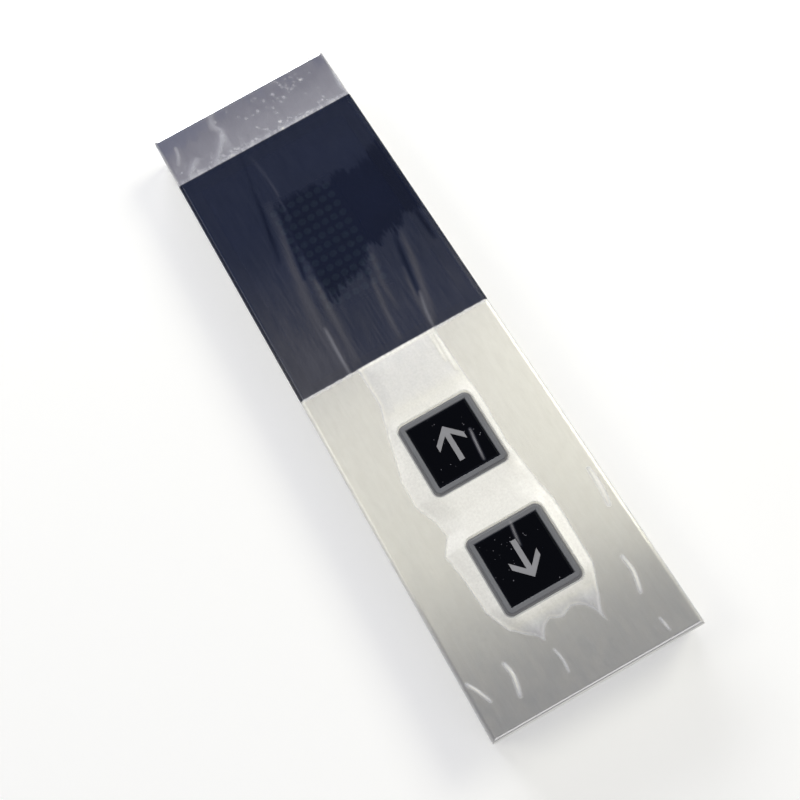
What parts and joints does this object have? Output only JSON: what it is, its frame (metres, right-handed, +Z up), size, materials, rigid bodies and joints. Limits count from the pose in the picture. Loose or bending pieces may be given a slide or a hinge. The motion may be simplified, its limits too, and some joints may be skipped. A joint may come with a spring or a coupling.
{
  "type": "lift landing call panel",
  "caption": "Wall panel that calls a lift: folded stainless faceplate, smoked display window and square sprung push buttons with up and down arrows, hung on a back plate.",
  "frame": {"origin": "middle of the back plate's rear face, on the wall", "axes": "+Z up the panel, +Y into the wall, +X to the right for someone facing the panel"},
  "size_m": [0.1, 0.0244, 0.336],
  "materials": {
    "stainless": "hairline",
    "smoked_acrylic": "gloss",
    "tape": "matt",
    "galvanised": "spangled zinc",
    "black_coat": "matt",
    "coppered_steel": "copper flash",
    "zinc_plate": "bright zinc",
    "black_plastic": "matt",
    "resin": "milky",
    "circuit_board": "solder mask",
    "chip_epoxy": "matt",
    "connector_nylon": "satin",
    "lead_sleeve": "satin",
    "rubber": "matt",
    "bezel_grey": "satin",
    "cap_black": "gloss",
    "arrow_grey": "satin",
    "guide_white": "milky",
    "stem_red": "satin",
    "spring_steel": "bright"
  },
  "bodies": {
    "panel": {"faceplate": "stainless", "display_window": "smoked_acrylic", "window_tape": "tape", "window_carrier": "black_coat", "weld_studs": "coppered_steel", "stud_nuts": "zinc_plate", "matrix_reflector": "black_plastic", "matrix_lens": "resin", "display_board": "circuit_board", "board_standoffs": "black_plastic", "board_screws": "zinc_plate", "board_chips": "chip_epoxy", "lead_sockets": "connector_nylon", "wall_connector": "connector_nylon", "up_lead": "lead_sleeve", "down_lead": "lead_sleeve", "hanger_bar": "galvanised", "back_plate": "galvanised", "lock_bracket": "galvanised", "cable_grommet": "rubber", "lock_screws": "zinc_plate", "up_bezel": "bezel_grey", "up_base": "black_plastic", "up_switch_board": "circuit_board", "up_switch_body": "black_plastic", "up_leds": "resin", "up_connector": "connector_nylon", "up_return_springs": "spring_steel", "down_bezel": "bezel_grey", "down_base": "black_plastic", "down_switch_board": "circuit_board", "down_switch_body": "black_plastic", "down_leds": "resin", "down_connector": "connector_nylon", "down_return_springs": "spring_steel"},
    "up_button": {"up_cap": "cap_black", "up_arrow": "arrow_grey", "up_light_guide": "guide_white", "up_switch_stem": "stem_red"},
    "down_button": {"down_cap": "cap_black", "down_arrow": "arrow_grey", "down_light_guide": "guide_white", "down_switch_stem": "stem_red"}
  },
  "joints": [
    {"name": "up_press", "type": "slide", "parent": "panel", "child": "up_button", "axis": [0, 1, 0], "range_m": [0, 0.0012], "stiffness_N_per_m": 1000, "springref_m": -0.0015, "deforming": ["up_return_springs"]},
    {"name": "down_press", "type": "slide", "parent": "panel", "child": "down_button", "axis": [0, 1, 0], "range_m": [0, 0.0012], "stiffness_N_per_m": 1000, "springref_m": -0.0015, "deforming": ["down_return_springs"]}
  ]
}
